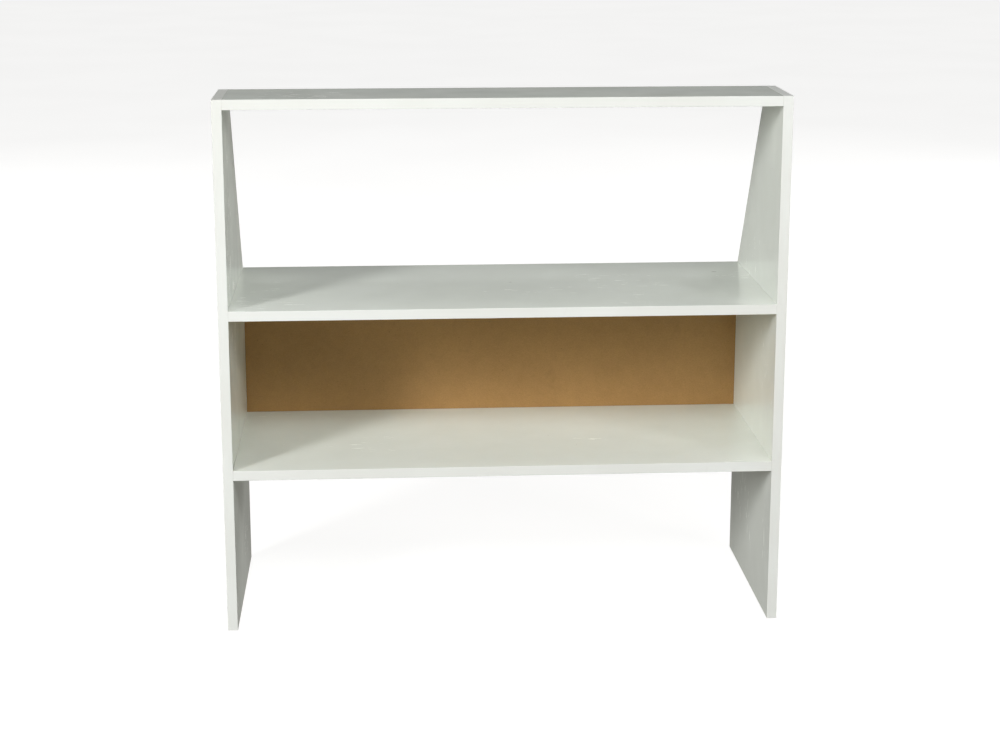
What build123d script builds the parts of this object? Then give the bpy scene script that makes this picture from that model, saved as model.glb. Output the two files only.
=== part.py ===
from build123d import *
from collections import namedtuple
import math
import os

# Desk hutch in melamine-faced board, in millimetres.
# +Z is up, the front faces -Y, and the origin is the centre of the footprint on the desk.

# Carcass
overall_width = 900.0
board_thickness = 16.0
side_height = 863.0
side_depth = 347.0
side_top_depth = 145.0
middle_shelf_top = 531.0
lower_shelf_top = 270.0
band_thickness = 1.0
band_rounding = 0.4

# Hardboard back, nailed over the rear edges
back_thickness = 3.0
back_inset = 2.0

# Panel pins that hold the back
pin_shank_radius = 0.7
pin_length = 20.0
pin_point_length = 2.0
pin_head_radius = 1.6
pin_head_thickness = 1.0
pin_head_proud = 0.6
pins_per_shelf = 7
pins_per_side = 4
pin_row_end_gap = 32.0
pin_column_end_gap = 18.0

# Glides under the legs
glide_radius = 7.0
glide_height = 3.0
glide_rounding = 1.2
glide_setback = 30.0
glide_nail_radius = 0.9
glide_nail_length = 14.0
glide_nail_head_radius = 2.6
glide_nail_head_thickness = 0.8
glide_nail_cover = 1.0

# Cam locks, bored into the underside of each horizontal board
cam_bore_radius = 7.5
cam_bore_depth = 12.5
cam_radius = 7.4
cam_height = 12.0
cam_recess = 0.3
cam_from_board_end = 34.0
cam_rim_width = 0.9
cam_rim_depth = 0.5
cam_head_pocket_radius = 3.7
cam_head_pocket_back = 4.0
cam_head_pocket_front = 2.4
cam_neck_slot_radius = 2.3
cam_slot_width = 1.3
cam_slot_length = 8.0
cam_slot_depth = 2.5

# Connecting bolts, from the side panel into the cam lock
bolt_edge_bore_radius = 4.0
bolt_thread_radius = 2.5
bolt_thread_root_radius = 2.0
bolt_thread_length = 11.0
bolt_thread_pitch = 1.8
bolt_thread_crest = 0.6
bolt_thread_lead = 0.9
bolt_tip_radius = 0.5
bolt_hole_depth = 12.0
bolt_collar_radius = 3.7
bolt_collar_length = 1.2
bolt_shank_radius = 3.0
bolt_neck_radius = 2.0
bolt_head_radius = 3.4
bolt_head_length = 3.0
bolt_head_chamfer = 0.6
bolt_head_past_centre = 2.0

# Dowels
dowel_radius = 4.0
dowel_length = 30.0
dowel_in_side = 11.0
dowel_hole_slack = 1.0
dowel_end_chamfer = 1.0
dowel_flutes = 12
dowel_flute_radius = 0.45

# Where the fixings sit along the depth, from the front edge
deep_cam_setback = 50.0
deep_dowel_setback = 82.0
top_cam_setback = 37.0

# Worked-out places
overall_depth = side_depth + back_thickness + pin_head_proud
front_y = -overall_depth / 2
rear_y = front_y + side_depth
panel_bottom = glide_height
half_width = overall_width / 2
inner_x = half_width - board_thickness
side_centre_x = half_width - board_thickness / 2
deep_cam_places = [deep_cam_setback, side_depth - deep_cam_setback]
deep_dowel_places = [deep_dowel_setback, side_depth - deep_dowel_setback]
top_cam_places = [top_cam_setback, side_top_depth - top_cam_setback]
top_dowel_places = [side_top_depth / 2]

# Each horizontal board: its underside, its depth, whether its rear edge is banded, and its fixings' places
HorizontalBoard = namedtuple("HorizontalBoard", "bottom depth rear_banded cam_places dowel_places")


def board_under(top, depth, rear_banded, cam_places, dowel_places):
    """A horizontal board whose upper face is at a height above the bottom of the side panels."""
    bottom = panel_bottom + top - board_thickness
    return HorizontalBoard(bottom, depth, rear_banded, cam_places, dowel_places)


boards = {
    "top_panel": board_under(side_height, side_top_depth, True, top_cam_places, top_dowel_places),
    "middle_shelf": board_under(middle_shelf_top, side_depth, True, deep_cam_places, deep_dowel_places),
    "lower_shelf": board_under(lower_shelf_top, side_depth, False, deep_cam_places, deep_dowel_places),
}


def box_between(low, high):
    """A box from its lowest corner to its highest corner."""
    size = [high[i] - low[i] for i in range(3)]
    centre = [(high[i] + low[i]) / 2 for i in range(3)]
    return Pos(*centre) * Box(*size)


def rod_along_x(radius, x_start, x_end, y, z):
    """A round rod parallel to X."""
    length = abs(x_end - x_start)
    return Pos((x_start + x_end) / 2, y, z) * Rot(0, 90, 0) * Cylinder(radius, length)


def rod_along_y(radius, y_start, y_end, x, z):
    """A round rod parallel to Y."""
    length = abs(y_end - y_start)
    return Pos(x, (y_start + y_end) / 2, z) * Rot(90, 0, 0) * Cylinder(radius, length)


def rod_along_z(radius, z_start, z_end, x, y):
    """A round rod parallel to Z."""
    length = abs(z_end - z_start)
    return Pos(x, y, (z_start + z_end) / 2) * Cylinder(radius, length)


def revolved(profile):
    """The solid that a profile of (distance along the axis, radius) points makes when spun about X."""
    points = [(along, 0, radius) for along, radius in profile]
    face = make_face(Polyline(*points, close=True))
    return revolve(face, Axis.X, 360)


# Side panels: the outline is drawn in the YZ plane, from the front bottom corner

def crossing(first, second):
    """Where two lines meet, each given as a point and a direction."""
    (py, pz), (dy, dz) = first
    (qy, qz), (ey, ez) = second
    share = ((qy - py) * ez - (qz - pz) * ey) / (dy * ez - dz * ey)
    return (py + share * dy, pz + share * dz)


def inset_line(start, end, inset):
    """The line through two corners of the outline, moved inwards, for corners in anticlockwise order."""
    dy, dz = end[0] - start[0], end[1] - start[1]
    length = math.hypot(dy, dz)
    return ((start[0] - dz / length * inset, start[1] + dy / length * inset), (dy, dz))


front_bottom = (0, 0)
rear_bottom = (side_depth, 0)
rear_bend = (side_depth, middle_shelf_top)
rear_top = (side_top_depth, side_height)
front_top = (0, side_height)

rear_line = inset_line(rear_bottom, rear_bend, band_thickness)
slope_line = inset_line(rear_bend, rear_top, band_thickness)
top_line = inset_line(rear_top, front_top, band_thickness)

core_front_bottom = (band_thickness, 0)
core_rear_bottom = (side_depth - band_thickness, 0)
core_rear_bend = crossing(rear_line, slope_line)
core_rear_top = crossing(slope_line, top_line)
core_front_top = (band_thickness, side_height - band_thickness)


def plate_from_outline(corners, x_low):
    """A board-thick plate with the given outline, standing in the YZ plane."""
    points = [(x_low, front_y + y, panel_bottom + z) for y, z in corners]
    face = make_face(Polyline(*points, close=True))
    return extrude(face, amount=board_thickness, dir=(1, 0, 0))


def rounded_band(band, outer_start, outer_end, x_low):
    """A band whose two long outer edges, from outer_start to outer_end, are rounded off."""
    middle_y = front_y + (outer_start[0] + outer_end[0]) / 2
    middle_z = panel_bottom + (outer_start[1] + outer_end[1]) / 2
    corners = []
    for x in (x_low, x_low + board_thickness):
        middle = Vector(x, middle_y, middle_z)
        corners.append(min(band.edges(), key=lambda edge: (edge.center() - middle).length))
    return fillet(corners, band_rounding)


def side_bands(x_low):
    """The four edging strips of a side panel: the front strip covers the end of the top strip."""
    front_strip_top = (band_thickness, side_height)
    front_corners = [front_bottom, core_front_bottom, front_strip_top, front_top]
    strips = {
        "front_band": (front_corners, front_bottom, front_top),
        "top_band": ([front_strip_top, core_front_top, core_rear_top, rear_top], front_strip_top, rear_top),
        "slope_band": ([rear_top, core_rear_top, core_rear_bend, rear_bend], rear_top, rear_bend),
        "rear_band": ([rear_bend, core_rear_bend, core_rear_bottom, rear_bottom], rear_bend, rear_bottom),
    }
    made = {}
    for name, (corners, start, end) in strips.items():
        made[name] = rounded_band(plate_from_outline(corners, x_low), start, end, x_low)
    return made


def side_core(x_low):
    """The board of a side panel, inside its edging."""
    corners = [core_front_bottom, core_rear_bottom, core_rear_bend, core_rear_top, core_front_top]
    return plate_from_outline(corners, x_low)


# Horizontal boards

def board_core(board):
    """The board of a shelf or of the top, inside its edging."""
    rear = board.depth - band_thickness if board.rear_banded else board.depth
    low = (-inner_x, front_y + band_thickness, board.bottom)
    high = (inner_x, front_y + rear, board.bottom + board_thickness)
    return box_between(low, high)


def board_band(board, y_start, outer_y):
    """An edging strip along a horizontal board, rounded on its outer side."""
    low = (-inner_x, y_start, board.bottom)
    high = (inner_x, y_start + band_thickness, board.bottom + board_thickness)
    strip = box_between(low, high)
    long_edges = strip.edges().filter_by(Axis.X)
    outer = [edge for edge in long_edges if abs(edge.center().Y - outer_y) < band_thickness / 2]
    return fillet(outer, band_rounding)


# Fixings. Each is made for the right-hand end, and mirrored for the left-hand end.

def cam_lock(y, board_bottom):
    """A cam lock: a round die-cast body, a pocket for the bolt head, and a rim and cross slot in its face."""
    x = inner_x - cam_from_board_end
    face_z = board_bottom + cam_recess
    axis_z = board_bottom + board_thickness / 2
    body = rod_along_z(cam_radius, face_z, face_z + cam_height, x, y)
    body = chamfer(body.edges().group_by(Axis.Z)[-1], cam_rim_depth)
    dish = rod_along_z(cam_radius - cam_rim_width, face_z, face_z + cam_rim_depth, x, y)
    slot_z = face_z + cam_rim_depth
    slots = [
        box_between(
            (x - length_x / 2, y - length_y / 2, slot_z),
            (x + length_x / 2, y + length_y / 2, slot_z + cam_slot_depth),
        )
        for length_x, length_y in ((cam_slot_length, cam_slot_width), (cam_slot_width, cam_slot_length))
    ]
    pocket = rod_along_x(
        cam_head_pocket_radius, x - cam_head_pocket_back, x + cam_head_pocket_front, y, axis_z
    )
    neck_slot = rod_along_x(cam_neck_slot_radius, x, x + 2 * cam_radius, y, axis_z)
    return body - dish - slots[0] - slots[1] - pocket - neck_slot


def bolt_profile():
    """Half outline of a connecting bolt: head at the low end, thread at the high end, 0 at the side panel."""
    head_start = -cam_from_board_end - bolt_head_past_centre
    head_end = head_start + bolt_head_length
    shank_start = -cam_from_board_end + cam_bore_radius
    points = [(head_start, 0), (head_start, bolt_head_radius - bolt_head_chamfer)]
    points += [(head_start + bolt_head_chamfer, bolt_head_radius), (head_end, bolt_head_radius)]
    points += [(head_end, bolt_neck_radius), (shank_start, bolt_neck_radius)]
    points += [(shank_start, bolt_shank_radius), (-bolt_collar_length, bolt_shank_radius)]
    points += [(-bolt_collar_length, bolt_collar_radius), (0, bolt_collar_radius)]
    points += [(0, bolt_thread_root_radius)]
    turns = int((bolt_thread_length - bolt_thread_pitch) / bolt_thread_pitch)
    for turn in range(turns):
        start = bolt_thread_lead + bolt_thread_pitch * turn
        middle = start + bolt_thread_pitch / 2
        points += [(start, bolt_thread_root_radius), (middle - bolt_thread_crest / 2, bolt_thread_radius)]
        points += [(middle + bolt_thread_crest / 2, bolt_thread_radius)]
    last_root = bolt_thread_lead + bolt_thread_pitch * turns
    points += [(last_root, bolt_thread_root_radius), (bolt_thread_length, bolt_tip_radius)]
    points += [(bolt_thread_length, 0)]
    return points


def connecting_bolt(y, board_bottom):
    """A connecting bolt that runs from the side panel into the cam lock."""
    return Pos(inner_x, y, board_bottom + board_thickness / 2) * revolved(bolt_profile())


def dowel(y, board_bottom):
    """A fluted wooden dowel, part in the side panel and part in the board's end."""
    start = inner_x + dowel_in_side - dowel_length
    end = inner_x + dowel_in_side
    z = board_bottom + board_thickness / 2
    body = rod_along_x(dowel_radius, start, end, y, z)
    body = chamfer(body.edges(), dowel_end_chamfer)
    for flute in range(dowel_flutes):
        angle = 2 * math.pi * flute / dowel_flutes
        flute_y = y + dowel_radius * math.cos(angle)
        flute_z = z + dowel_radius * math.sin(angle)
        body -= rod_along_x(dowel_flute_radius, start, end, flute_y, flute_z)
    return body


def board_bores(board):
    """Everything that is bored out of a horizontal board at its right-hand end."""
    z = board.bottom + board_thickness / 2
    cutters = []
    for place in board.cam_places:
        y = front_y + place
        x = inner_x - cam_from_board_end
        cutters.append(rod_along_z(cam_bore_radius, board.bottom, board.bottom + cam_bore_depth, x, y))
        cutters.append(rod_along_x(bolt_edge_bore_radius, x, inner_x, y, z))
    for place in board.dowel_places:
        hole_start = inner_x + dowel_in_side - dowel_length - dowel_hole_slack
        cutters.append(rod_along_x(dowel_radius, hole_start, inner_x, front_y + place, z))
    return cutters


def side_bores(board):
    """Everything that one horizontal board needs bored into the right-hand side panel."""
    z = board.bottom + board_thickness / 2
    cutters = []
    for place in board.cam_places:
        hole_end = inner_x + bolt_hole_depth
        cutters.append(rod_along_x(bolt_thread_radius, inner_x, hole_end, front_y + place, z))
    for place in board.dowel_places:
        hole_end = inner_x + dowel_in_side + dowel_hole_slack
        cutters.append(rod_along_x(dowel_radius, inner_x, hole_end, front_y + place, z))
    return cutters


# Hardboard back and its pins

back_low_z = panel_bottom + lower_shelf_top - board_thickness + back_inset
back_high_z = panel_bottom + middle_shelf_top - back_inset
lower_pin_z = panel_bottom + lower_shelf_top - board_thickness / 2
upper_pin_z = panel_bottom + middle_shelf_top - board_thickness / 2


def spread(low, high, count):
    """Evenly spaced values from low to high."""
    return [low + (high - low) * step / (count - 1) for step in range(count)]


def pin_places():
    """(x, z) of every panel pin: a row into each shelf and a column into each side panel."""
    row = spread(-inner_x + pin_row_end_gap, inner_x - pin_row_end_gap, pins_per_shelf)
    column = spread(lower_pin_z + pin_column_end_gap, upper_pin_z - pin_column_end_gap, pins_per_side)
    shelf_pins = [(x, z) for z in (lower_pin_z, upper_pin_z) for x in row]
    side_pins = [(x, z) for x in (-side_centre_x, side_centre_x) for z in column]
    return shelf_pins + side_pins


def panel_pin(x, z):
    """A panel pin: its flat head stands a little proud of the hardboard, and its point is in the board."""
    head_outer = pin_head_proud
    head_inner = pin_head_proud - pin_head_thickness
    point_start = head_inner - pin_length + pin_point_length
    profile = [(head_outer, 0), (head_outer, pin_head_radius), (head_inner, pin_head_radius)]
    profile += [(head_inner, pin_shank_radius), (point_start, pin_shank_radius)]
    profile += [(point_start - pin_point_length, 0)]
    return Pos(x, rear_y + back_thickness, z) * Rot(0, 0, 90) * revolved(profile)


def pin_hole(x, z):
    """The hole that a pin makes in everything it passes through."""
    depth = pin_length + pin_head_thickness - pin_head_proud
    outer = rear_y + back_thickness
    return rod_along_y(pin_shank_radius, outer - depth, outer, x, z)


def back_panel():
    """The hardboard, with a hole and a shallow seat for each pin."""
    low = (-half_width + back_inset, rear_y, back_low_z)
    high = (half_width - back_inset, rear_y + back_thickness, back_high_z)
    panel = box_between(low, high)
    outer = rear_y + back_thickness
    seat_depth = pin_head_thickness - pin_head_proud
    for x, z in pin_places():
        panel -= pin_hole(x, z)
        panel -= rod_along_y(pin_head_radius, outer - seat_depth, outer, x, z)
    return panel


# Glides

glide_y_places = {"front": front_y + glide_setback, "rear": rear_y - glide_setback}
glide_x_places = {"left": -side_centre_x, "right": side_centre_x}


def glide_nail(x, y):
    """The nail moulded into a glide, with its head buried in the plastic."""
    head_bottom = glide_nail_cover
    head_top = head_bottom + glide_nail_head_thickness
    head = rod_along_z(glide_nail_head_radius, head_bottom, head_top, x, y)
    shank_top = panel_bottom + glide_nail_length
    shank = rod_along_z(glide_nail_radius, head_top, shank_top - 2 * glide_nail_radius, x, y)
    point = Pos(x, y, shank_top - glide_nail_radius) * Cone(glide_nail_radius, 0, 2 * glide_nail_radius)
    return head + shank + point


def glide_pad(x, y):
    """A low round plastic glide with a rounded lower rim, moulded round its nail."""
    pad = rod_along_z(glide_radius, 0, glide_height, x, y)
    pad = fillet(pad.edges().group_by(Axis.Z)[0], glide_rounding)
    return pad - glide_nail(x, y)


def glide_hole(x, y):
    """The hole that a glide's nail makes in the bottom edge of a side panel."""
    return rod_along_z(glide_nail_radius, panel_bottom, panel_bottom + glide_nail_length, x, y)


# Assembly

def mirrored_pair(solid):
    """A solid made for the right-hand end, and its mirror image at the left-hand end."""
    return [solid, mirror(solid, Plane.YZ)]


def cut_all(body, cutters):
    """The body with every cutter taken out of it."""
    for cutter in cutters:
        body -= cutter
    return body


def write(node, solids):
    """Writes one node: a single solid, or a group of separate solids."""
    shape = solids[0] if len(solids) == 1 else Compound(children=solids)
    export_step(shape, f"parts/{node}.step")


def make_horizontal_boards():
    """The top and the two shelves, with their edging and with bores at both ends."""
    shelf_pin_holes = [pin_hole(x, z) for x, z in pin_places() if abs(x) < inner_x]
    for node, board in boards.items():
        core = board_core(board)
        for cutter in board_bores(board):
            core = cut_all(core, mirrored_pair(cutter))
        board_rear = front_y + board.depth
        rear_band = board_band(board, board_rear - band_thickness, board_rear)
        if board.depth == side_depth:
            core = cut_all(core, shelf_pin_holes)
            rear_band = cut_all(rear_band, shelf_pin_holes)
        write(node, [core])
        write(f"{node}_front_band", [board_band(board, front_y, front_y)])
        if board.rear_banded:
            write(f"{node}_rear_band", [rear_band])


def make_side_panels():
    """Both side panels, with their edging and every bore."""
    for side, x_low in (("left", -half_width), ("right", inner_x)):
        core = side_core(x_low)
        for board in boards.values():
            for cutter in side_bores(board):
                core = cut_all(core, mirrored_pair(cutter))
        pin_holes = [pin_hole(x, z) for x, z in pin_places() if abs(x) > inner_x]
        core = cut_all(core, pin_holes)
        core = cut_all(core, [glide_hole(glide_x_places[side], y) for y in glide_y_places.values()])
        write(f"{side}_side_panel", [core])
        for band_name, band in side_bands(x_low).items():
            if band_name == "rear_band":
                band = cut_all(band, pin_holes)
            write(f"{side}_side_{band_name}", [band])


def make_fixings():
    """The cam locks, bolts and dowels of all six butt joints, and the pins of the back."""
    locks = []
    bolts = []
    dowels = []
    for board in boards.values():
        for place in board.cam_places:
            locks += mirrored_pair(cam_lock(front_y + place, board.bottom))
            bolts += mirrored_pair(connecting_bolt(front_y + place, board.bottom))
        for place in board.dowel_places:
            dowels += mirrored_pair(dowel(front_y + place, board.bottom))
    write("cam_locks", locks)
    write("connecting_bolts", bolts)
    write("wood_dowels", dowels)
    write("back_panel_pins", [panel_pin(x, z) for x, z in pin_places()])


def make_glides():
    """Four glides, one at each end of each leg, and their nails."""
    nails = []
    for side, x in glide_x_places.items():
        for end, y in glide_y_places.items():
            write(f"foot_glide_{end}_{side}", [glide_pad(x, y)])
            nails.append(glide_nail(x, y))
    write("glide_nails", nails)


os.makedirs("parts", exist_ok=True)
make_side_panels()
make_horizontal_boards()
write("back_panel", [back_panel()])
make_fixings()
make_glides()
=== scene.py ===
import math

import bmesh
import bpy
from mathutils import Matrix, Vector


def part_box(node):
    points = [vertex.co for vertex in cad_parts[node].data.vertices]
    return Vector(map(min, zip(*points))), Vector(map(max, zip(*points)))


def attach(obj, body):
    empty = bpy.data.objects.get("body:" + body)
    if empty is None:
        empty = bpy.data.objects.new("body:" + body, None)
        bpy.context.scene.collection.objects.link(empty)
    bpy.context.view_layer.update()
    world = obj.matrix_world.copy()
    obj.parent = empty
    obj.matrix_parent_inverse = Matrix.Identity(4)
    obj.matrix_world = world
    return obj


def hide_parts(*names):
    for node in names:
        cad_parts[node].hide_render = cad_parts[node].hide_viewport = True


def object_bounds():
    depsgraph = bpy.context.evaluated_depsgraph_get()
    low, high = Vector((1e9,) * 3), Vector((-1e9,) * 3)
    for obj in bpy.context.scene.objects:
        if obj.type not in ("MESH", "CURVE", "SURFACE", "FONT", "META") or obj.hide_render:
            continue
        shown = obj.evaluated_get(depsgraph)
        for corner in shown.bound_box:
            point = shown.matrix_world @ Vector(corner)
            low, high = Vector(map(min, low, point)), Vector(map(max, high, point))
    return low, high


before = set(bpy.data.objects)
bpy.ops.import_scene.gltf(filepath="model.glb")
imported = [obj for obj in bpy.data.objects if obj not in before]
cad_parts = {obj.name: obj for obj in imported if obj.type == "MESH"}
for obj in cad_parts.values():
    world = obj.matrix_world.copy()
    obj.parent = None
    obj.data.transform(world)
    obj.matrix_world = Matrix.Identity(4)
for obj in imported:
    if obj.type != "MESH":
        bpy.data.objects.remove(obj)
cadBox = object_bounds()
scene = bpy.context.scene
scene.view_settings.view_transform = "Standard"
print("stage: frame loaded,", len(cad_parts), "nodes")

mm = 0.001  # every length in the dictionaries is in metres, most of them written as so many mm
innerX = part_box("right_side_panel")[0].x  # inner face of the side panels
frontY = cadBox[0].y
backLow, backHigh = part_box("back_panel")
bumpStrength = 0.5  # the same for every finish, which sets its depth by distance


def middleOf(node, axis):
    low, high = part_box(node)
    return (low[axis] + high[axis]) / 2


sideX = middleOf("right_side_panel", 0)


# a socket that can stand in a sum, and a tree that makes nodes

class Wire:
    def __init__(self, tree, socket):
        self.tree = tree
        self.socket = socket

    def __add__(self, other):
        return self.tree.maths("ADD", self, other)

    def __sub__(self, other):
        return self.tree.maths("SUBTRACT", self, other)

    def __rsub__(self, other):
        return self.tree.maths("SUBTRACT", other, self)

    def __mul__(self, other):
        return self.tree.maths("MULTIPLY", self, other)

    def __gt__(self, other):
        return self.tree.maths("GREATER_THAN", self, other)

    def __lt__(self, other):
        return self.tree.maths("LESS_THAN", self, other)

    def __abs__(self):
        return self.tree.maths("ABSOLUTE", self)

    __radd__ = __add__
    __rmul__ = __mul__


class NodeTree:
    def __init__(self, tree):
        self.tree = tree

    def add(self, kind, settings=None, sockets=None, output=0):
        node = self.tree.nodes.new(kind)
        for key, value in (settings or {}).items():
            if key == "stops":
                fillRamp(node.color_ramp, value)
            else:
                setattr(node, key, value)
        for key, value in (sockets or {}).items():
            for part in value if isinstance(value, list) else [value]:
                if isinstance(part, Wire):
                    self.tree.links.new(part.socket, node.inputs[key])
                else:
                    node.inputs[key].default_value = part
        return Wire(self, node.outputs[output]) if node.outputs else node

    def maths(self, operation, *terms):
        return self.add("ShaderNodeMath", {"operation": operation}, dict(enumerate(terms)))

    def split(self, vector):
        node = self.add("ShaderNodeSeparateXYZ", {}, {0: vector}).socket.node
        return [Wire(self, socket) for socket in node.outputs]

    def join(self, x, y, z):
        return self.add("ShaderNodeCombineXYZ", {}, {0: x, 1: y, 2: z})

    def rise(self, value, low, high):  # 0 at low, 1 at high, smooth between them
        smooth = {"interpolation_type": "SMOOTHSTEP"}
        return self.add("ShaderNodeMapRange", smooth, {0: value, 1: low, 2: high})


def fillRamp(ramp, stops):
    while len(ramp.elements) < len(stops):
        ramp.elements.new(1.0)
    for element, (position, colour) in zip(ramp.elements, stops):
        element.position = position
        element.color = colour


class Finish(NodeTree):  # one material
    def __init__(self, name):
        self.material = bpy.data.materials.new(name)
        self.material.use_nodes = True
        super().__init__(self.material.node_tree)
        self.tree.nodes.clear()
        self.place = self.add("ShaderNodeTexCoord", {}, {}, "Object")
        self.x, self.y, self.z = self.split(self.place)

    def stretched(self, x, y, z):
        return self.add("ShaderNodeMapping", {}, {"Vector": self.place, "Scale": (x, y, z)})

    def noise(self, scale, detail=2.0, place=None, roughness=0.5):
        sockets = {"Vector": place or self.place, "Scale": scale}
        sockets.update({"Detail": detail, "Roughness": roughness})
        return self.add("ShaderNodeTexNoise", {}, sockets)

    def cells(self, scale, place=None, feature="F1"):
        sockets = {"Vector": place or self.place, "Scale": scale}
        return self.add("ShaderNodeTexVoronoi", {"feature": feature}, sockets, "Distance")

    def mix(self, share, first, second):
        return self.add("ShaderNodeMix", {"data_type": "RGBA"}, {0: share, 6: first, 7: second}, 2)

    def colours(self, value, stops):
        return self.add("ShaderNodeValToRGB", {"stops": stops}, {0: value})

    def bump(self, height, distance):
        sockets = {"Height": height, "Distance": distance, "Strength": bumpStrength}
        return self.add("ShaderNodeBump", {}, sockets)

    def close(self, sockets):  # the shader, and the end of the tree
        surface = self.add("ShaderNodeBsdfPrincipled", {}, sockets)
        self.add("ShaderNodeOutputMaterial", {}, {"Surface": surface})
        return self.material


def paint(material, *nodeNames):
    for name in nodeNames:
        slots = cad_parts[name].data.materials
        slots.clear()
        slots.append(material)


# boards: chipboard with a melamine face on both sides

board = {
    "white": (0.851, 0.883, 0.827, 1),
    "cloudy": (0.818, 0.850, 0.789, 1),
    # this colour also paints the glue line and the painted shade in the joints with the side panels
    "rubbed": (0.560, 0.555, 0.510, 1),
    "speck": (0.130, 0.105, 0.075, 1),
    "facing": 0.3 * mm,  # decor paper and its glue on both faces of the chips
    "fineLayer": 3.2 * mm,  # finer chips under each face
    # width of the glue line at the edging and of the painted shade in the joints with the side
    # panels
    "glueAndShadeLine": 0.2 * mm,
    "roughness": 0.20,
    "chipRoughness": 0.88,
    "relief": 0.3 * mm,
    "pearl": 900.0,  # the fine texture pressed into the melamine
    "chips": [
        (0.0, (0.10, 0.055, 0.028, 1)),
        (0.35, (0.27, 0.165, 0.085, 1)),
        (0.7, (0.45, 0.305, 0.170, 1)),
        (1.0, (0.62, 0.465, 0.290, 1)),
    ],
    "chipLength": 300.0,
    "chipThickness": 1100.0,
    "scuffs": [  # on the middle shelf: place, half length and half width, strength
        ((0.377, 0.085), (5 * mm, 2.5 * mm), 0.42),
        ((0.022, 0.020), (3 * mm, 2 * mm), 0.30),
    ],
}


def chipLayers(finish, axis, depth):  # pressed chips: coarse in the middle, fine under the faces
    scale = [board["chipLength"]] * 3
    scale[axis] = board["chipThickness"]
    coarse = finish.stretched(*scale)
    fine = finish.stretched(*[3 * part for part in scale])
    isFine = depth < board["fineLayer"]
    tone = finish.noise(1.3, 3.0, coarse) * (1 - isFine) + finish.noise(1.3, 3.0, fine) * isFine
    edge = finish.cells(1.0, coarse, "DISTANCE_TO_EDGE") * (1 - isFine)
    edge = edge + finish.cells(1.0, fine, "DISTANCE_TO_EDGE") * isFine
    gap = 1 - finish.rise(edge, 0.01, 0.10)
    colour = finish.colours(finish.rise(tone, 0.28, 0.72), board["chips"])
    return finish.mix(gap * 0.75, colour, board["chips"][0][1]), 1 - gap


def oval(finish, place, size):  # 1 inside a soft-edged oval on the upper face of a shelf
    dx = (finish.x - place[0]) * (1 / size[0])
    dy = (finish.y - place[1]) * (1 / size[1])
    ragged = finish.noise(420.0, 3.0) * 0.9 - 0.45
    return 1 - finish.rise(dx * dx + dy * dy + ragged, 0.5, 1.1)


def melamineBoard(node, axis, marks=()):
    low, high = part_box(node)
    finish = Finish(node + "Finish")
    across = (finish.x, finish.y, finish.z)[axis]
    thickness = high[axis] - low[axis]
    depth = thickness / 2 - abs(across - (low[axis] + thickness / 2))  # below the nearer face
    isFacing = depth < board["facing"]
    cloud = finish.noise(2.6, 3.0) * 0.6 + finish.noise(19.0, 4.0) * 0.4
    white = finish.mix(finish.rise(cloud, 0.36, 0.64), board["cloudy"], board["white"])
    strokes = finish.noise(1.0, 3.0, finish.stretched(28.0, 240.0, 28.0))
    rubbed = finish.rise(strokes, 0.60, 0.70) * finish.rise(finish.noise(4.5, 2.0), 0.50, 0.68)
    specks = (finish.cells(31.0) < 0.020) * (finish.noise(8.0, 0.0) > 0.55)
    scuffed = specks * 0.6
    for place, size, strength in marks:
        scuffed = scuffed + oval(finish, place, size) * strength
    glueAndJointShade = finish.y < low.y + board["glueAndShadeLine"]  # a glue line against the front edging
    if axis == 2:
        glueAndJointShade = glueAndJointShade + (abs(finish.x) > innerX - board["glueAndShadeLine"])  # painted shade in the joint against the side panels
    white = finish.mix(rubbed * 0.14, white, board["rubbed"])
    # glue line at the edging, and painted shade in the joints with the side panels
    white = finish.mix(glueAndJointShade * 0.45, white, board["rubbed"])
    white = finish.mix(scuffed, white, board["speck"])
    chips, chipHeight = chipLayers(finish, axis, depth)
    haze = finish.noise(14.0, 4.0)
    gloss = board["roughness"] - 0.06 + haze * 0.12 + rubbed * 0.15
    pearl = finish.noise(board["pearl"], 2.0)
    return finish.close({
        "Base Color": finish.mix(isFacing, chips, white),
        "Roughness": isFacing * (gloss - board["chipRoughness"]) + board["chipRoughness"],
        "Normal": finish.bump(isFacing * (pearl * 0.07 - chipHeight) + chipHeight, board["relief"]),
        "IOR": 1.5,
    })


for side in ("left_side_panel", "right_side_panel"):
    paint(melamineBoard(side, 0), side)
for level in ("top_panel", "middle_shelf", "lower_shelf"):
    scuffs = board["scuffs"] if level == "middle_shelf" else ()
    paint(melamineBoard(level, 2, scuffs), level)
print("stage: five boards faced")


# edging: one strip of melamine on each edge that shows

edging = {
    "white": (0.767, 0.785, 0.751, 1),
    "cloudy": (0.740, 0.751, 0.711, 1),
    # for knocks, specks and draw lines, and for the painted shade in the seams
    "grimeAndSeamShade": (0.430, 0.415, 0.370, 1),
    "roughness": 0.36,
    "drawLines": 1500.0,  # fine lines along the strip, left by drawing it through the machine
    "lengthwise": 9.0,
    # width of the painted shade in the seam where a strip meets the side panels
    "seamShade": 0.3 * mm,
    "relief": 0.05 * mm,
}


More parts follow.
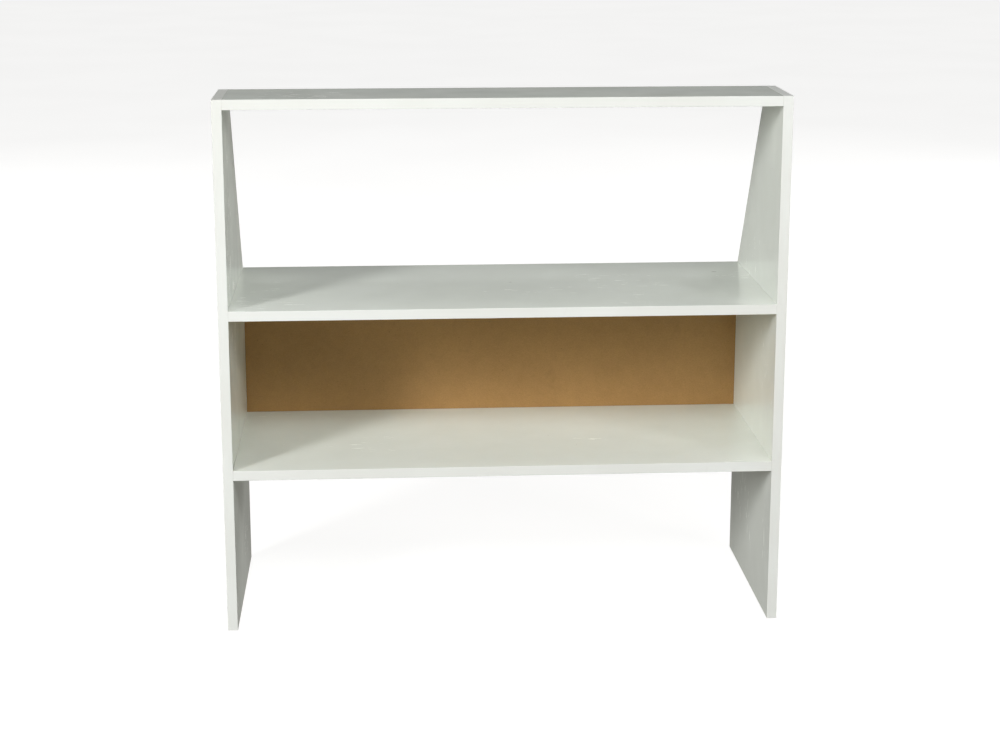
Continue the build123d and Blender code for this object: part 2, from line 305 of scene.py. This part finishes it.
def edgingStrip(name, scale):  # the scale is high across the strip and low along it
    finish = Finish(name)
    lines = finish.noise(1.0, 3.0, finish.stretched(*scale))
    cloud = finish.noise(5.0, 3.0)
    knocks = finish.rise(finish.noise(48.0, 4.0), 0.60, 0.72)
    knocks = knocks * finish.rise(finish.noise(6.0, 1.0), 0.50, 0.66)
    dots = (finish.cells(44.0) < 0.022) * (finish.noise(7.0, 0.0) > 0.54)
    # painted shade in the seam where the strips butt together at the side panels
    seamShade = abs(abs(finish.x) - innerX) < edging["seamShade"]
    white = finish.mix(finish.rise(cloud, 0.35, 0.65), edging["cloudy"], edging["white"])
    # real knocks, specks and draw lines, plus the painted seam shade
    dirtAndSeamShade = knocks * 0.07 + dots * 0.45 + seamShade * 0.30 + finish.rise(lines, 0.55, 0.85) * 0.03
    return finish.close({
        "Base Color": finish.mix(dirtAndSeamShade, white, edging["grimeAndSeamShade"]),
        "Roughness": edging["roughness"] - 0.05 + cloud * 0.1 + knocks * 0.14,
        "Normal": finish.bump(lines * 0.4 - knocks * 0.5, edging["relief"]),
        "IOR": 1.49,
    })


along, fine = edging["lengthwise"], edging["drawLines"]
bandNodes = [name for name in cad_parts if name.endswith("_band")]
uprightBands = [name for name in bandNodes if "_side_" in name]
levelBands = [name for name in bandNodes if "_side_" not in name]
paint(edgingStrip("sideEdging", (fine, along, along)), *uprightBands)
paint(edgingStrip("shelfEdging", (along, fine, fine)), *levelBands)
print("stage: edging on", len(bandNodes), "strips")


# hardboard back: smooth inside, screen-backed outside

hardboard = {
    "pale": (0.512, 0.290, 0.101, 1),
    "dark": (0.317, 0.172, 0.055, 1),
    # also the colour of the painted shade and dust in the joints
    "fleckAndJointShade": (0.120, 0.056, 0.018, 1),
    "meshSide": (0.270, 0.152, 0.062, 1),  # rough face, pressed against a wire screen
    "edge": (0.235, 0.125, 0.048, 1),
    "meshPitch": 1.6 * mm,
    "gap": 0.8 * mm,  # painted shade and dust in the line where the sheet meets a shelf or a side panel
    "meshDepth": 0.25 * mm,  # the rear this far in is the rough face
    "rim": 0.2 * mm,  # sawn edges, this far in
    "relief": 0.3 * mm,
    "roughness": 0.46,
}


def hardboardSheet():
    finish = Finish("hardboardSheet")
    rim = hardboard["rim"]
    isRear = finish.y > backHigh.y - hardboard["meshDepth"]
    isEdge = (abs(finish.x) > backHigh.x - rim) + (finish.z > backHigh.z - rim)
    isEdge = isEdge + (finish.z < backLow.z + rim)
    cloud = finish.noise(5.0, 3.0) * 0.6 + finish.noise(60.0, 5.0, roughness=0.65) * 0.4
    fibre = finish.noise(1.0, 5.0, finish.stretched(380.0, 380.0, 1500.0), 0.7)
    felted = finish.noise(1.0, 5.0, finish.stretched(1300.0, 380.0, 600.0), 0.7)
    tone = finish.rise(cloud * 0.30 + fibre * 0.40 + felted * 0.30, 0.30, 0.70)
    flecks = (finish.cells(75.0) < 0.060) * (finish.noise(10.0, 1.0) > 0.56)
    slivers = finish.rise(finish.noise(1.0, 2.0, finish.stretched(260.0, 260.0, 1500.0)), 0.68, 0.74)
    marks = flecks * 0.55 + slivers * 0.40 + finish.rise(finish.noise(26.0, 3.0), 0.64, 0.74) * 0.10
    # painted shade, with some dust, in the gaps where the sheet meets the shelves and side panels
    jointShadeAndDust = finish.rise(abs(abs(finish.x) - innerX), hardboard["gap"], 0.0)
    for level in (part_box("lower_shelf")[1].z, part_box("middle_shelf")[0].z):
        jointShadeAndDust = jointShadeAndDust + finish.rise(abs(finish.z - level), hardboard["gap"], 0.0)
    # the marks include the painted joint shade
    marks = finish.maths("MINIMUM", marks + jointShadeAndDust * 0.6, 1.0)
    smooth = finish.mix(tone, hardboard["dark"], hardboard["pale"])
    smooth = finish.mix(marks, smooth, hardboard["fleckAndJointShade"])
    turn = 2 * math.pi / hardboard["meshPitch"]
    wires = finish.maths("SINE", finish.x * turn) * finish.maths("SINE", finish.z * turn)
    screened = finish.mix(finish.rise(wires, -0.4, 0.6) * 0.65 + 0.25, smooth, hardboard["meshSide"])
    colour = finish.mix(isEdge, finish.mix(isRear, smooth, screened), hardboard["edge"])
    rough = isRear * (wires * 0.8 + fibre * 0.6) + (1 - isRear) * (fibre * 0.10 + felted * 0.08)
    return finish.close({
        "Base Color": colour,
        "Roughness": hardboard["roughness"] + isRear * 0.34 + tone * 0.08,
        "Normal": finish.bump(rough + isEdge * felted, hardboard["relief"]),
        "IOR": 1.45,
    })


paint(hardboardSheet(), "back_panel")
print("stage: hardboard back")


# metal, beech and plastic

metals = {  # bright colour, dull colour, roughness, grain and pits
    "pinSteel": ((0.56, 0.555, 0.55, 1), (0.34, 0.325, 0.30, 1), 0.26, 700.0, 0.0),
    "castZinc": ((0.60, 0.60, 0.61, 1), (0.42, 0.42, 0.43, 1), 0.38, 420.0, 1.0),
    "platedSteel": ((0.70, 0.69, 0.64, 1), (0.50, 0.49, 0.43, 1), 0.22, 800.0, 0.0),
}
metalRelief = 0.06 * mm
beech = {
    "late": (0.47, 0.29, 0.15, 1),
    "early": (0.72, 0.52, 0.31, 1),
    "pore": (0.26, 0.14, 0.065, 1),
    "roughness": 0.58,
    "relief": 0.1 * mm,
}
plastic = {
    "pale": (0.62, 0.62, 0.58, 1),
    "yellowed": (0.55, 0.545, 0.50, 1),
    "worn": (0.24, 0.23, 0.20, 1),
    "wearLow": 0.1 * mm,  # from the desk: fully scuffed below this
    "wearHeight": 0.8 * mm,  # and not at all above this
    "roughness": 0.38,
    "relief": 0.05 * mm,
}


def metalFinish(name):
    bright, dull, roughness, grain, pits = metals[name]
    finish = Finish(name)
    cloud = finish.noise(grain, 4.0)
    fine = finish.noise(grain * 8, 3.0)
    pitted = (1 - finish.rise(finish.cells(grain * 3), 0.12, 0.30)) * pits
    tarnish = finish.rise(cloud * 0.7 + fine * 0.3, 0.36, 0.66)
    return finish.close({
        "Base Color": finish.mix(tarnish, bright, dull),
        "Roughness": roughness + fine * 0.16 + tarnish * 0.10,
        "Metallic": 1.0 - tarnish * 0.06,
        "Normal": finish.bump(fine * 0.5 - pitted, metalRelief),
    })


def beechFinish():
    finish = Finish("beechDowels")
    grain = finish.noise(1.0, 4.0, finish.stretched(70.0, 1300.0, 1300.0))
    pores = finish.rise(finish.noise(1.0, 2.0, finish.stretched(350.0, 3400.0, 3400.0)), 0.58, 0.68)
    wood = finish.mix(grain, beech["late"], beech["early"])
    return finish.close({
        "Base Color": finish.mix(pores * 0.6, wood, beech["pore"]),
        "Roughness": beech["roughness"] + pores * 0.2,
        "Normal": finish.bump(grain * 0.4 - pores, beech["relief"]),
    })


def glideFinish():
    finish = Finish("glidePlastic")
    haze = finish.noise(260.0, 3.0)
    height = finish.z + haze * 0.4 * mm
    wear = 1 - finish.rise(height, plastic["wearLow"], plastic["wearHeight"])
    moulded = finish.mix(finish.rise(haze, 0.35, 0.7), plastic["pale"], plastic["yellowed"])
    grazed = finish.noise(2200.0, 2.0) + wear * finish.noise(900.0, 3.0)
    return finish.close({
        "Base Color": finish.mix(wear * 0.5, moulded, plastic["worn"]),
        "Roughness": plastic["roughness"] + haze * 0.10 + wear * 0.20,
        "Normal": finish.bump(grazed, plastic["relief"]),
        "IOR": 1.5,
    })


paint(metalFinish("platedSteel"), "connecting_bolts")
paint(beechFinish(), "wood_dowels")
pinSteel = metalFinish("pinSteel")
paint(pinSteel, "glide_nails")
print("stage: metal, beech and plastic")


# turned fixings, and the grids that set them out

sharpAngle = math.radians(35)  # edges turning by more than this stay crisp


def meshObject(name, shape):
    bmesh.ops.recalc_face_normals(shape, faces=shape.faces)
    mesh = bpy.data.meshes.new(name)
    shape.to_mesh(mesh)
    shape.free()
    mesh.polygons.foreach_set("use_smooth", [True] * len(mesh.polygons))
    mesh.set_sharp_from_angle(angle=sharpAngle)
    made = bpy.data.objects.new(name, mesh)
    scene.collection.objects.link(made)
    return made


def circle(radius, count):
    angles = [2 * math.pi * step / count for step in range(count)]
    return [(radius * math.cos(angle), radius * math.sin(angle)) for angle in angles]


def bridge(shape, lower, upper):  # faces between two rings; a ring of one point is a pole
    for step in range(max(len(lower), len(upper))):
        corners = [lower[step % len(lower)], lower[(step + 1) % len(lower)]]
        corners += [upper[(step + 1) % len(upper)], upper[step % len(upper)]]
        shape.faces.new(list(dict.fromkeys(corners)))


def turnProfile(profile, segments):  # spins (radius, height) points about Z, from pole to pole
    shape = bmesh.new()
    rings = []
    for radius, height in profile:
        outline = circle(radius, segments) if radius else [(0.0, 0.0)]
        rings.append([shape.verts.new((x, y, height)) for x, y in outline])
    for lower, upper in zip(rings, rings[1:]):
        bridge(shape, lower, upper)
    return shape


def plug(shape, lower, upper):  # a closed solid between two outlines of the same number of points
    rings = [[shape.verts.new(point) for point in outline] for outline in (lower, upper)]
    for ring in rings:
        shape.faces.new(ring)
    bridge(shape, *rings)


def atHeight(outline, height, scale=1.0):
    return [(x * scale, y * scale, height) for x, y in outline]


def plainMesh(thing):  # what its modifiers make of it, without them
    graph = bpy.context.evaluated_depsgraph_get()
    mesh = bpy.data.meshes.new_from_object(thing.evaluated_get(graph), depsgraph=graph)
    thing.modifiers.clear()
    thing.data = mesh
    mesh.name = thing.name
    return mesh


class GridPlan(NodeTree):  # a Geometry Nodes tree with named inputs
    def __init__(self, name):
        super().__init__(bpy.data.node_groups.new(name, "GeometryNodeTree"))
        self.given = self.add("NodeGroupInput").socket.node

    def input(self, name, kind):
        self.tree.interface.new_socket(name, in_out="INPUT", socket_type="NodeSocket" + kind)
        return Wire(self, self.given.outputs[name])

    def close(self, geometry):
        self.tree.interface.new_socket("Geometry", in_out="OUTPUT", socket_type="NodeSocketGeometry")
        self.add("NodeGroupOutput", {}, {0: geometry})
        return self.tree


def fixingGrid():  # copies of one fixing at the crossings of a grid, added to what is there already
    plan = GridPlan("fixingGrid")
    before = plan.input("Geometry", "Geometry")
    fixing = plan.input("Fixing", "Object")
    sizes = {"Size X": plan.input("Span Across", "Float"), "Size Y": plan.input("Span Up", "Float")}
    sizes["Vertices X"] = plan.input("Count Across", "Int")
    sizes["Vertices Y"] = plan.input("Count Up", "Int")
    grid = plan.add("GeometryNodeMeshGrid", {}, sizes)
    lean = plan.input("Lean", "Float")
    spin = plan.input("Spin", "Float")
    extent = {0: plan.join(lean * -1, lean * -1, spin * -1), 1: plan.join(lean, lean, spin)}
    extent["Seed"] = plan.input("Seed", "Int")
    scatter = plan.add("FunctionNodeRandomValue", {"data_type": "FLOAT_VECTOR"}, extent)
    leanX, leanY, turnZ = plan.split(scatter)
    x = plan.split(plan.add("GeometryNodeInputPosition"))[0]
    turnZ = turnZ + (x < 0.0) * plan.input("Half Turn On Left", "Float") * math.pi
    rotation = plan.add("FunctionNodeEulerToRotation", {}, {0: plan.join(leanX, leanY, turnZ)})
    copy = plan.add("GeometryNodeObjectInfo", {}, {"Object": fixing}, "Geometry")
    copies = {"Points": grid, "Instance": copy, "Rotation": rotation}
    placed = plan.add("GeometryNodeInstanceOnPoints", {}, copies)
    tip = plan.join(plan.input("Tip Over", "Float"), 0.0, 0.0)
    tipped = plan.add("FunctionNodeEulerToRotation", {}, {0: tip})
    moved = {"Geometry": placed, "Translation": plan.input("Centre", "Vector"), "Rotation": tipped}
    placed = plan.add("GeometryNodeTransform", {}, moved)
    both = plan.add("GeometryNodeJoinGeometry", {}, {0: [before, placed]})
    solid = plan.add("GeometryNodeRealizeInstances", {}, {0: both})
    named = {"Geometry": solid, "Material": plan.input("Material", "Material")}
    return plan.close(plan.add("GeometryNodeSetMaterial", {}, named))


gridTree = fixingGrid()


def setOut(name, fixing, material, grids, nodes):
    piece = bpy.data.objects.new(name, bpy.data.meshes.new(name))
    scene.collection.objects.link(piece)
    for grid in grids:
        values = {"Fixing": fixing, "Material": material, "Seed": 7, **grid}
        modifier = piece.modifiers.new("grid", "NODES")
        modifier.node_group = gridTree
        for socket in gridTree.interface.items_tree:
            if socket.in_out == "INPUT" and socket.name in values:
                modifier[socket.identifier] = values[socket.name]
    mesh = plainMesh(piece)
    bpy.data.objects.remove(fixing)
    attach(piece, "root")
    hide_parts(*nodes)
    print("stage:", name, "-", len(mesh.polygons), "faces")


pins = {
    "head": 1.55 * mm,
    "proud": 0.55 * mm,
    "seat": 0.4 * mm,
    "dome": (0.0, 0.45, 0.85, 1.2, 1.45),  # angles from the top of the head
    "edge": 0.3,  # the head is widest this far down its seat
    "underside": 0.92,  # the head's foot against its widest
    "shank": 0.60 * mm,
    "length": 20 * mm,
    "point": 2 * mm,
    "perShelf": 7,
    "perSide": 4,
    "shelfEndGap": 32 * mm,
    "sideEndGap": 18 * mm,
    "segments": 20,
    "lean": math.radians(0.2),
}


def panelPin():
    head, seat, shank = pins["head"], pins["seat"], pins["shank"]
    tip = -seat - pins["length"]
    profile = [(head * math.sin(a), pins["proud"] * math.cos(a)) for a in pins["dome"]]
    profile += [(head, -pins["edge"] * seat), (head * pins["underside"], -seat)]
    profile += [(shank, -seat), (shank, tip + pins["point"]), (0.0, tip)]
    return meshObject("panelPin", turnProfile(profile, pins["segments"]))


lowerPinZ, upperPinZ = middleOf("lower_shelf", 2), middleOf("middle_shelf", 2)
pinCentre = (0.0, backHigh.y, (lowerPinZ + upperPinZ) / 2)
pinSpan = upperPinZ - lowerPinZ
pinCommon = {"Centre": pinCentre, "Tip Over": -math.pi / 2, "Lean": pins["lean"], "Spin": math.pi}
shelfPins = {
    "Span Across": 2 * (innerX - pins["shelfEndGap"]),
    "Span Up": pinSpan,
    "Count Across": pins["perShelf"],
    "Count Up": 2,
    **pinCommon,
}
sidePins = {
    "Span Across": 2 * sideX,
    "Span Up": pinSpan - 2 * pins["sideEndGap"],
    "Count Across": 2,
    "Count Up": pins["perSide"],
    **pinCommon,
}
setOut("panel_pins", panelPin(), pinSteel, [shelfPins, sidePins], ["back_panel_pins"])

cams = {
    "radius": 7.4 * mm,
    "height": 12 * mm,
    "recess": 0.3 * mm,
    "rim": 0.9 * mm,
    "rimStep": 0.15 * mm,
    "rimBevel": 0.1 * mm,
    "dish": 0.5 * mm,
    "chamfer": 0.2 * mm,
    "bevel": 0.5 * mm,
    "plate": 4.2 * mm,
    "wall": 1.2 * mm,
    "cross": 8 * mm,
    "crossWidth": 1.5 * mm,
    "crossDepth": 2.6 * mm,
    "crossTaper": 0.72,
    "arrowTip": 0.5 * mm,  # in from the edge of the face
    "arrowBase": 1.7 * mm,
    "arrowHalf": 0.9 * mm,
    "arrowDepth": 0.3 * mm,
    "clear": 1 * mm,  # the cutting shapes start this far outside the face
    "boltAxis": 7.7 * mm,
    "boltNeck": 2.3 * mm,
    "boltSegments": 24,
    "boltReach": 1.2,  # the bolt's opening is cut to this many radii, through the wall
    "fromBoardEnd": 34 * mm,
    "shelfSetback": 50 * mm,
    "topSetback": 37 * mm,
    "segments": 48,
}


def crossOutline():
    arm, half = cams["cross"] / 2, cams["crossWidth"] / 2
    outline = []
    for cosine, sine in ((1, 0), (0, 1), (-1, 0), (0, -1)):
        for x, y in ((arm, -half), (arm, half), (half, half)):
            outline.append((x * cosine - y * sine, x * sine + y * cosine))
    return outline


def camKnife(face, inside):  # what is cut out of the cup: cross recess, arrow and the bolt's opening
    dish, low = cams["dish"], cams["dish"] - cams["clear"]
    cutter = bmesh.new()
    cross = crossOutline()
    deep = atHeight(cross, dish + cams["crossDepth"], cams["crossTaper"])
    plug(cutter, atHeight(cross, low), deep)
    base = face - cams["arrowBase"]
    arrow = [(face - cams["arrowTip"], 0.0), (base, cams["arrowHalf"]), (base, -cams["arrowHalf"])]
    plug(cutter, atHeight(arrow, low), atHeight(arrow, dish + cams["arrowDepth"]))
    opening = circle(cams["boltNeck"], cams["boltSegments"])
    ends = (inside / 2, cams["radius"] * cams["boltReach"])
    plug(cutter, *[[(x, y, cams["boltAxis"] + z) for y, z in opening] for x in ends])
    return meshObject("camKnife", cutter)


def camFitting():  # a cup with its face down
    radius, height, dish = cams["radius"], cams["height"], cams["dish"]
    chamfer, bevel = cams["chamfer"], cams["bevel"]
    face = radius - cams["rim"]
    inside = radius - cams["wall"]
    profile = [(0.0, dish), (face - chamfer, dish), (face, cams["rimBevel"])]
    profile += [(face + cams["rimStep"], 0.0), (radius - chamfer, 0.0), (radius, chamfer)]
    profile += [(radius, height - bevel)]
    profile += [(radius - bevel, height), (inside, height)]
    profile += [(inside, cams["plate"]), (0.0, cams["plate"])]
    fitting = meshObject("camFitting", turnProfile(profile, cams["segments"]))
    knife = camKnife(face, inside)
    cut = fitting.modifiers.new("cut", "BOOLEAN")
    cut.object = knife
    cut.solver = "EXACT"
    plainMesh(fitting).set_sharp_from_angle(angle=sharpAngle)
    bpy.data.objects.remove(knife)
    return fitting


def camGrid(node, setback):  # the same distance in from the front and the rear of a level board
    rear = max(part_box(name)[1].y for name in (node, node + "_rear_band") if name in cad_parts)
    return {
        "Span Across": 2 * (innerX - cams["fromBoardEnd"]),
        "Span Up": rear - frontY - 2 * setback,
        "Count Across": 2,
        "Count Up": 2,
        "Half Turn On Left": 1.0,
        "Centre": (0.0, (rear + frontY) / 2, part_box(node)[0].z + cams["recess"]),
    }


camGrids = [camGrid("top_panel", cams["topSetback"])]
camGrids += [camGrid(node, cams["shelfSetback"]) for node in ("middle_shelf", "lower_shelf")]
castZinc = metalFinish("castZinc")
setOut("cam_fittings", camFitting(), castZinc, camGrids, ["cam_locks"])

glides = {
    "radius": 7 * mm,
    "height": 3 * mm,
    "rounding": 1.2 * mm,
    "roundingSteps": 5,
    "bevel": 0.4 * mm,
    "dimple": 0.35 * mm,
    "dimpleRadius": 2.2 * mm,
    "dimpleEdge": 2.8 * mm,
    "nailHead": 2.6 * mm,
    "nailHeadLow": 1.0 * mm,
    "nailHeadHigh": 1.8 * mm,
    "nailShank": 0.9 * mm,
    "segments": 48,
}


def footGlide():  # moulded round its nail, which leaves a stepped hollow
    radius, height, rounding = glides["radius"], glides["height"], glides["rounding"]
    flat = radius - rounding
    profile = [(0.0, glides["dimple"]), (glides["dimpleRadius"], glides["dimple"])]
    profile.append((glides["dimpleEdge"], 0.0))
    for step in range(glides["roundingSteps"] + 1):
        a = step / glides["roundingSteps"] * math.pi / 2
        profile.append((flat + rounding * math.sin(a), rounding - rounding * math.cos(a)))
    profile += [(radius, height - glides["bevel"]), (radius - glides["bevel"], height)]
    shank, head = glides["nailShank"], glides["nailHead"]
    profile += [(shank, height), (shank, glides["nailHeadHigh"]), (head, glides["nailHeadHigh"])]
    profile += [(head, glides["nailHeadLow"]), (0.0, glides["nailHeadLow"])]
    return meshObject("footGlide", turnProfile(profile, glides["segments"]))


glideNodes = [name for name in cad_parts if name.startswith("foot_glide")]
glideFront = middleOf("foot_glide_front_left", 1)
glideRear = middleOf("foot_glide_rear_left", 1)
glideGrid = {
    "Span Across": 2 * sideX,
    "Span Up": glideRear - glideFront,
    "Count Across": 2,
    "Count Up": 2,
    "Centre": (0.0, (glideFront + glideRear) / 2, 0.0),
    "Spin": math.pi,
}
setOut("foot_glides", footGlide(), glideFinish(), [glideGrid], glideNodes)


# studio: a pale floor and backdrop, soft lamps and the camera

studio = {
    "sweepRadius": 45.0,
    "floorSides": 96,
    "skyDetail": 4,
    "floorGlow": 0.905,
    "skyGlow": 0.92,
    "floor": (0.24, 0.24, 0.236, 1),
    "paper": (1.0, 0.997, 0.99, 1),
    "bounce": (0.231, 0.226, 0.209, 1),  # light that the floor sends up
    "aim": Vector((0.0, 0.0, 0.45)),
    "lamps": [  # name, degrees from straight ahead, degrees up, distance, width and watts
        ("key", -43, 17, 5.1, 1.05, 79),
        ("keyHigh", -43, 26, 5.1, 1.05, 96),
        ("front", -8, 38, 5.1, 1.8, 70),
        ("frontRight", 20, 30, 5.1, 1.95, 58),
        ("right", 45, 26, 5.1, 1.2, 50),
        ("behindRight", 140, 20, 5.4, 2.1, 86),
        ("behindLeft", -150, 15, 5.4, 2.1, 32),
        ("overhead", 0, 80, 4.0, 0.8, 13),
    ],
}


def sweepFinish(name, colour, glow):
    finish = Finish(name)
    cloud = finish.rise(finish.noise(1.5, 3.0), 0.3, 0.7)
    tone = finish.mix(cloud * 0.02, studio["paper"], studio["floor"])
    return finish.close({
        "Base Color": colour,
        "Roughness": 0.95,
        "Specular IOR Level": 0.0,
        "Emission Color": tone,
        "Emission Strength": glow,
    })


def makeSweep():
    radius = studio["sweepRadius"]
    floorShape = bmesh.new()
    sides = studio["floorSides"]
    bmesh.ops.create_circle(floorShape, cap_ends=True, radius=radius, segments=sides)
    skyShape = bmesh.new()
    bmesh.ops.create_icosphere(skyShape, subdivisions=studio["skyDetail"], radius=radius)
    floor, sky = meshObject("floor", floorShape), meshObject("backdrop", skyShape)
    floor.data.materials.append(sweepFinish("floorPaper", studio["floor"], studio["floorGlow"]))
    sky.data.materials.append(sweepFinish("backdropPaper", (0.0, 0.0, 0.0, 1), studio["skyGlow"]))
    for piece in (floor, sky):
        piece.visible_diffuse = False
        piece.visible_glossy = False
        piece.visible_shadow = False


def makeLamp(name, azimuth, elevation, distance, width, watts):
    lamp = bpy.data.lights.new(name, "AREA")
    lamp.shape = "DISK"
    lamp.size = width
    lamp.energy = watts
    holder = bpy.data.objects.new(name, lamp)
    turn, rise = math.radians(azimuth), math.radians(elevation)
    reach = math.cos(rise)
    away = Vector((math.sin(turn) * reach, -math.cos(turn) * reach, math.sin(rise)))
    holder.location = studio["aim"] + away * distance
    holder.rotation_euler = away.to_track_quat("Z", "Y").to_euler()
    scene.collection.objects.link(holder)


def makeAir():  # light from below the horizon only, as a pale floor sends up
    world = bpy.data.worlds.new("studioAir")
    world.use_nodes = True
    air = NodeTree(world.node_tree)
    air.tree.nodes.clear()
    height = air.split(air.add("ShaderNodeTexCoord", {}, {}, "Generated"))[2]
    share = {0: height < 0.0, 6: (0.0, 0.0, 0.0, 1), 7: studio["bounce"]}
    colour = air.add("ShaderNodeMix", {"data_type": "RGBA"}, share, 2)
    light = air.add("ShaderNodeBackground", {}, {"Color": colour})
    air.add("ShaderNodeOutputWorld", {}, {"Surface": light})
    scene.world = world


camera = {
    "place": (-0.1913, -3.1475, 1.2124),
    "turn": (77.114, -0.014, -3.535),
    "lens": 69.70,
    "shiftUp": -0.065,  # the hutch sits a little high in the frame
}


def makeCamera():
    data = bpy.data.cameras.new("camera")
    data.lens = camera["lens"]
    data.shift_y = camera["shiftUp"]
    holder = bpy.data.objects.new("camera", data)
    holder.location = camera["place"]
    holder.rotation_euler = [math.radians(angle) for angle in camera["turn"]]
    scene.collection.objects.link(holder)
    scene.camera = holder


makeSweep()
for lamp in studio["lamps"]:
    makeLamp(*lamp)
makeAir()
makeCamera()
print("stage: studio")
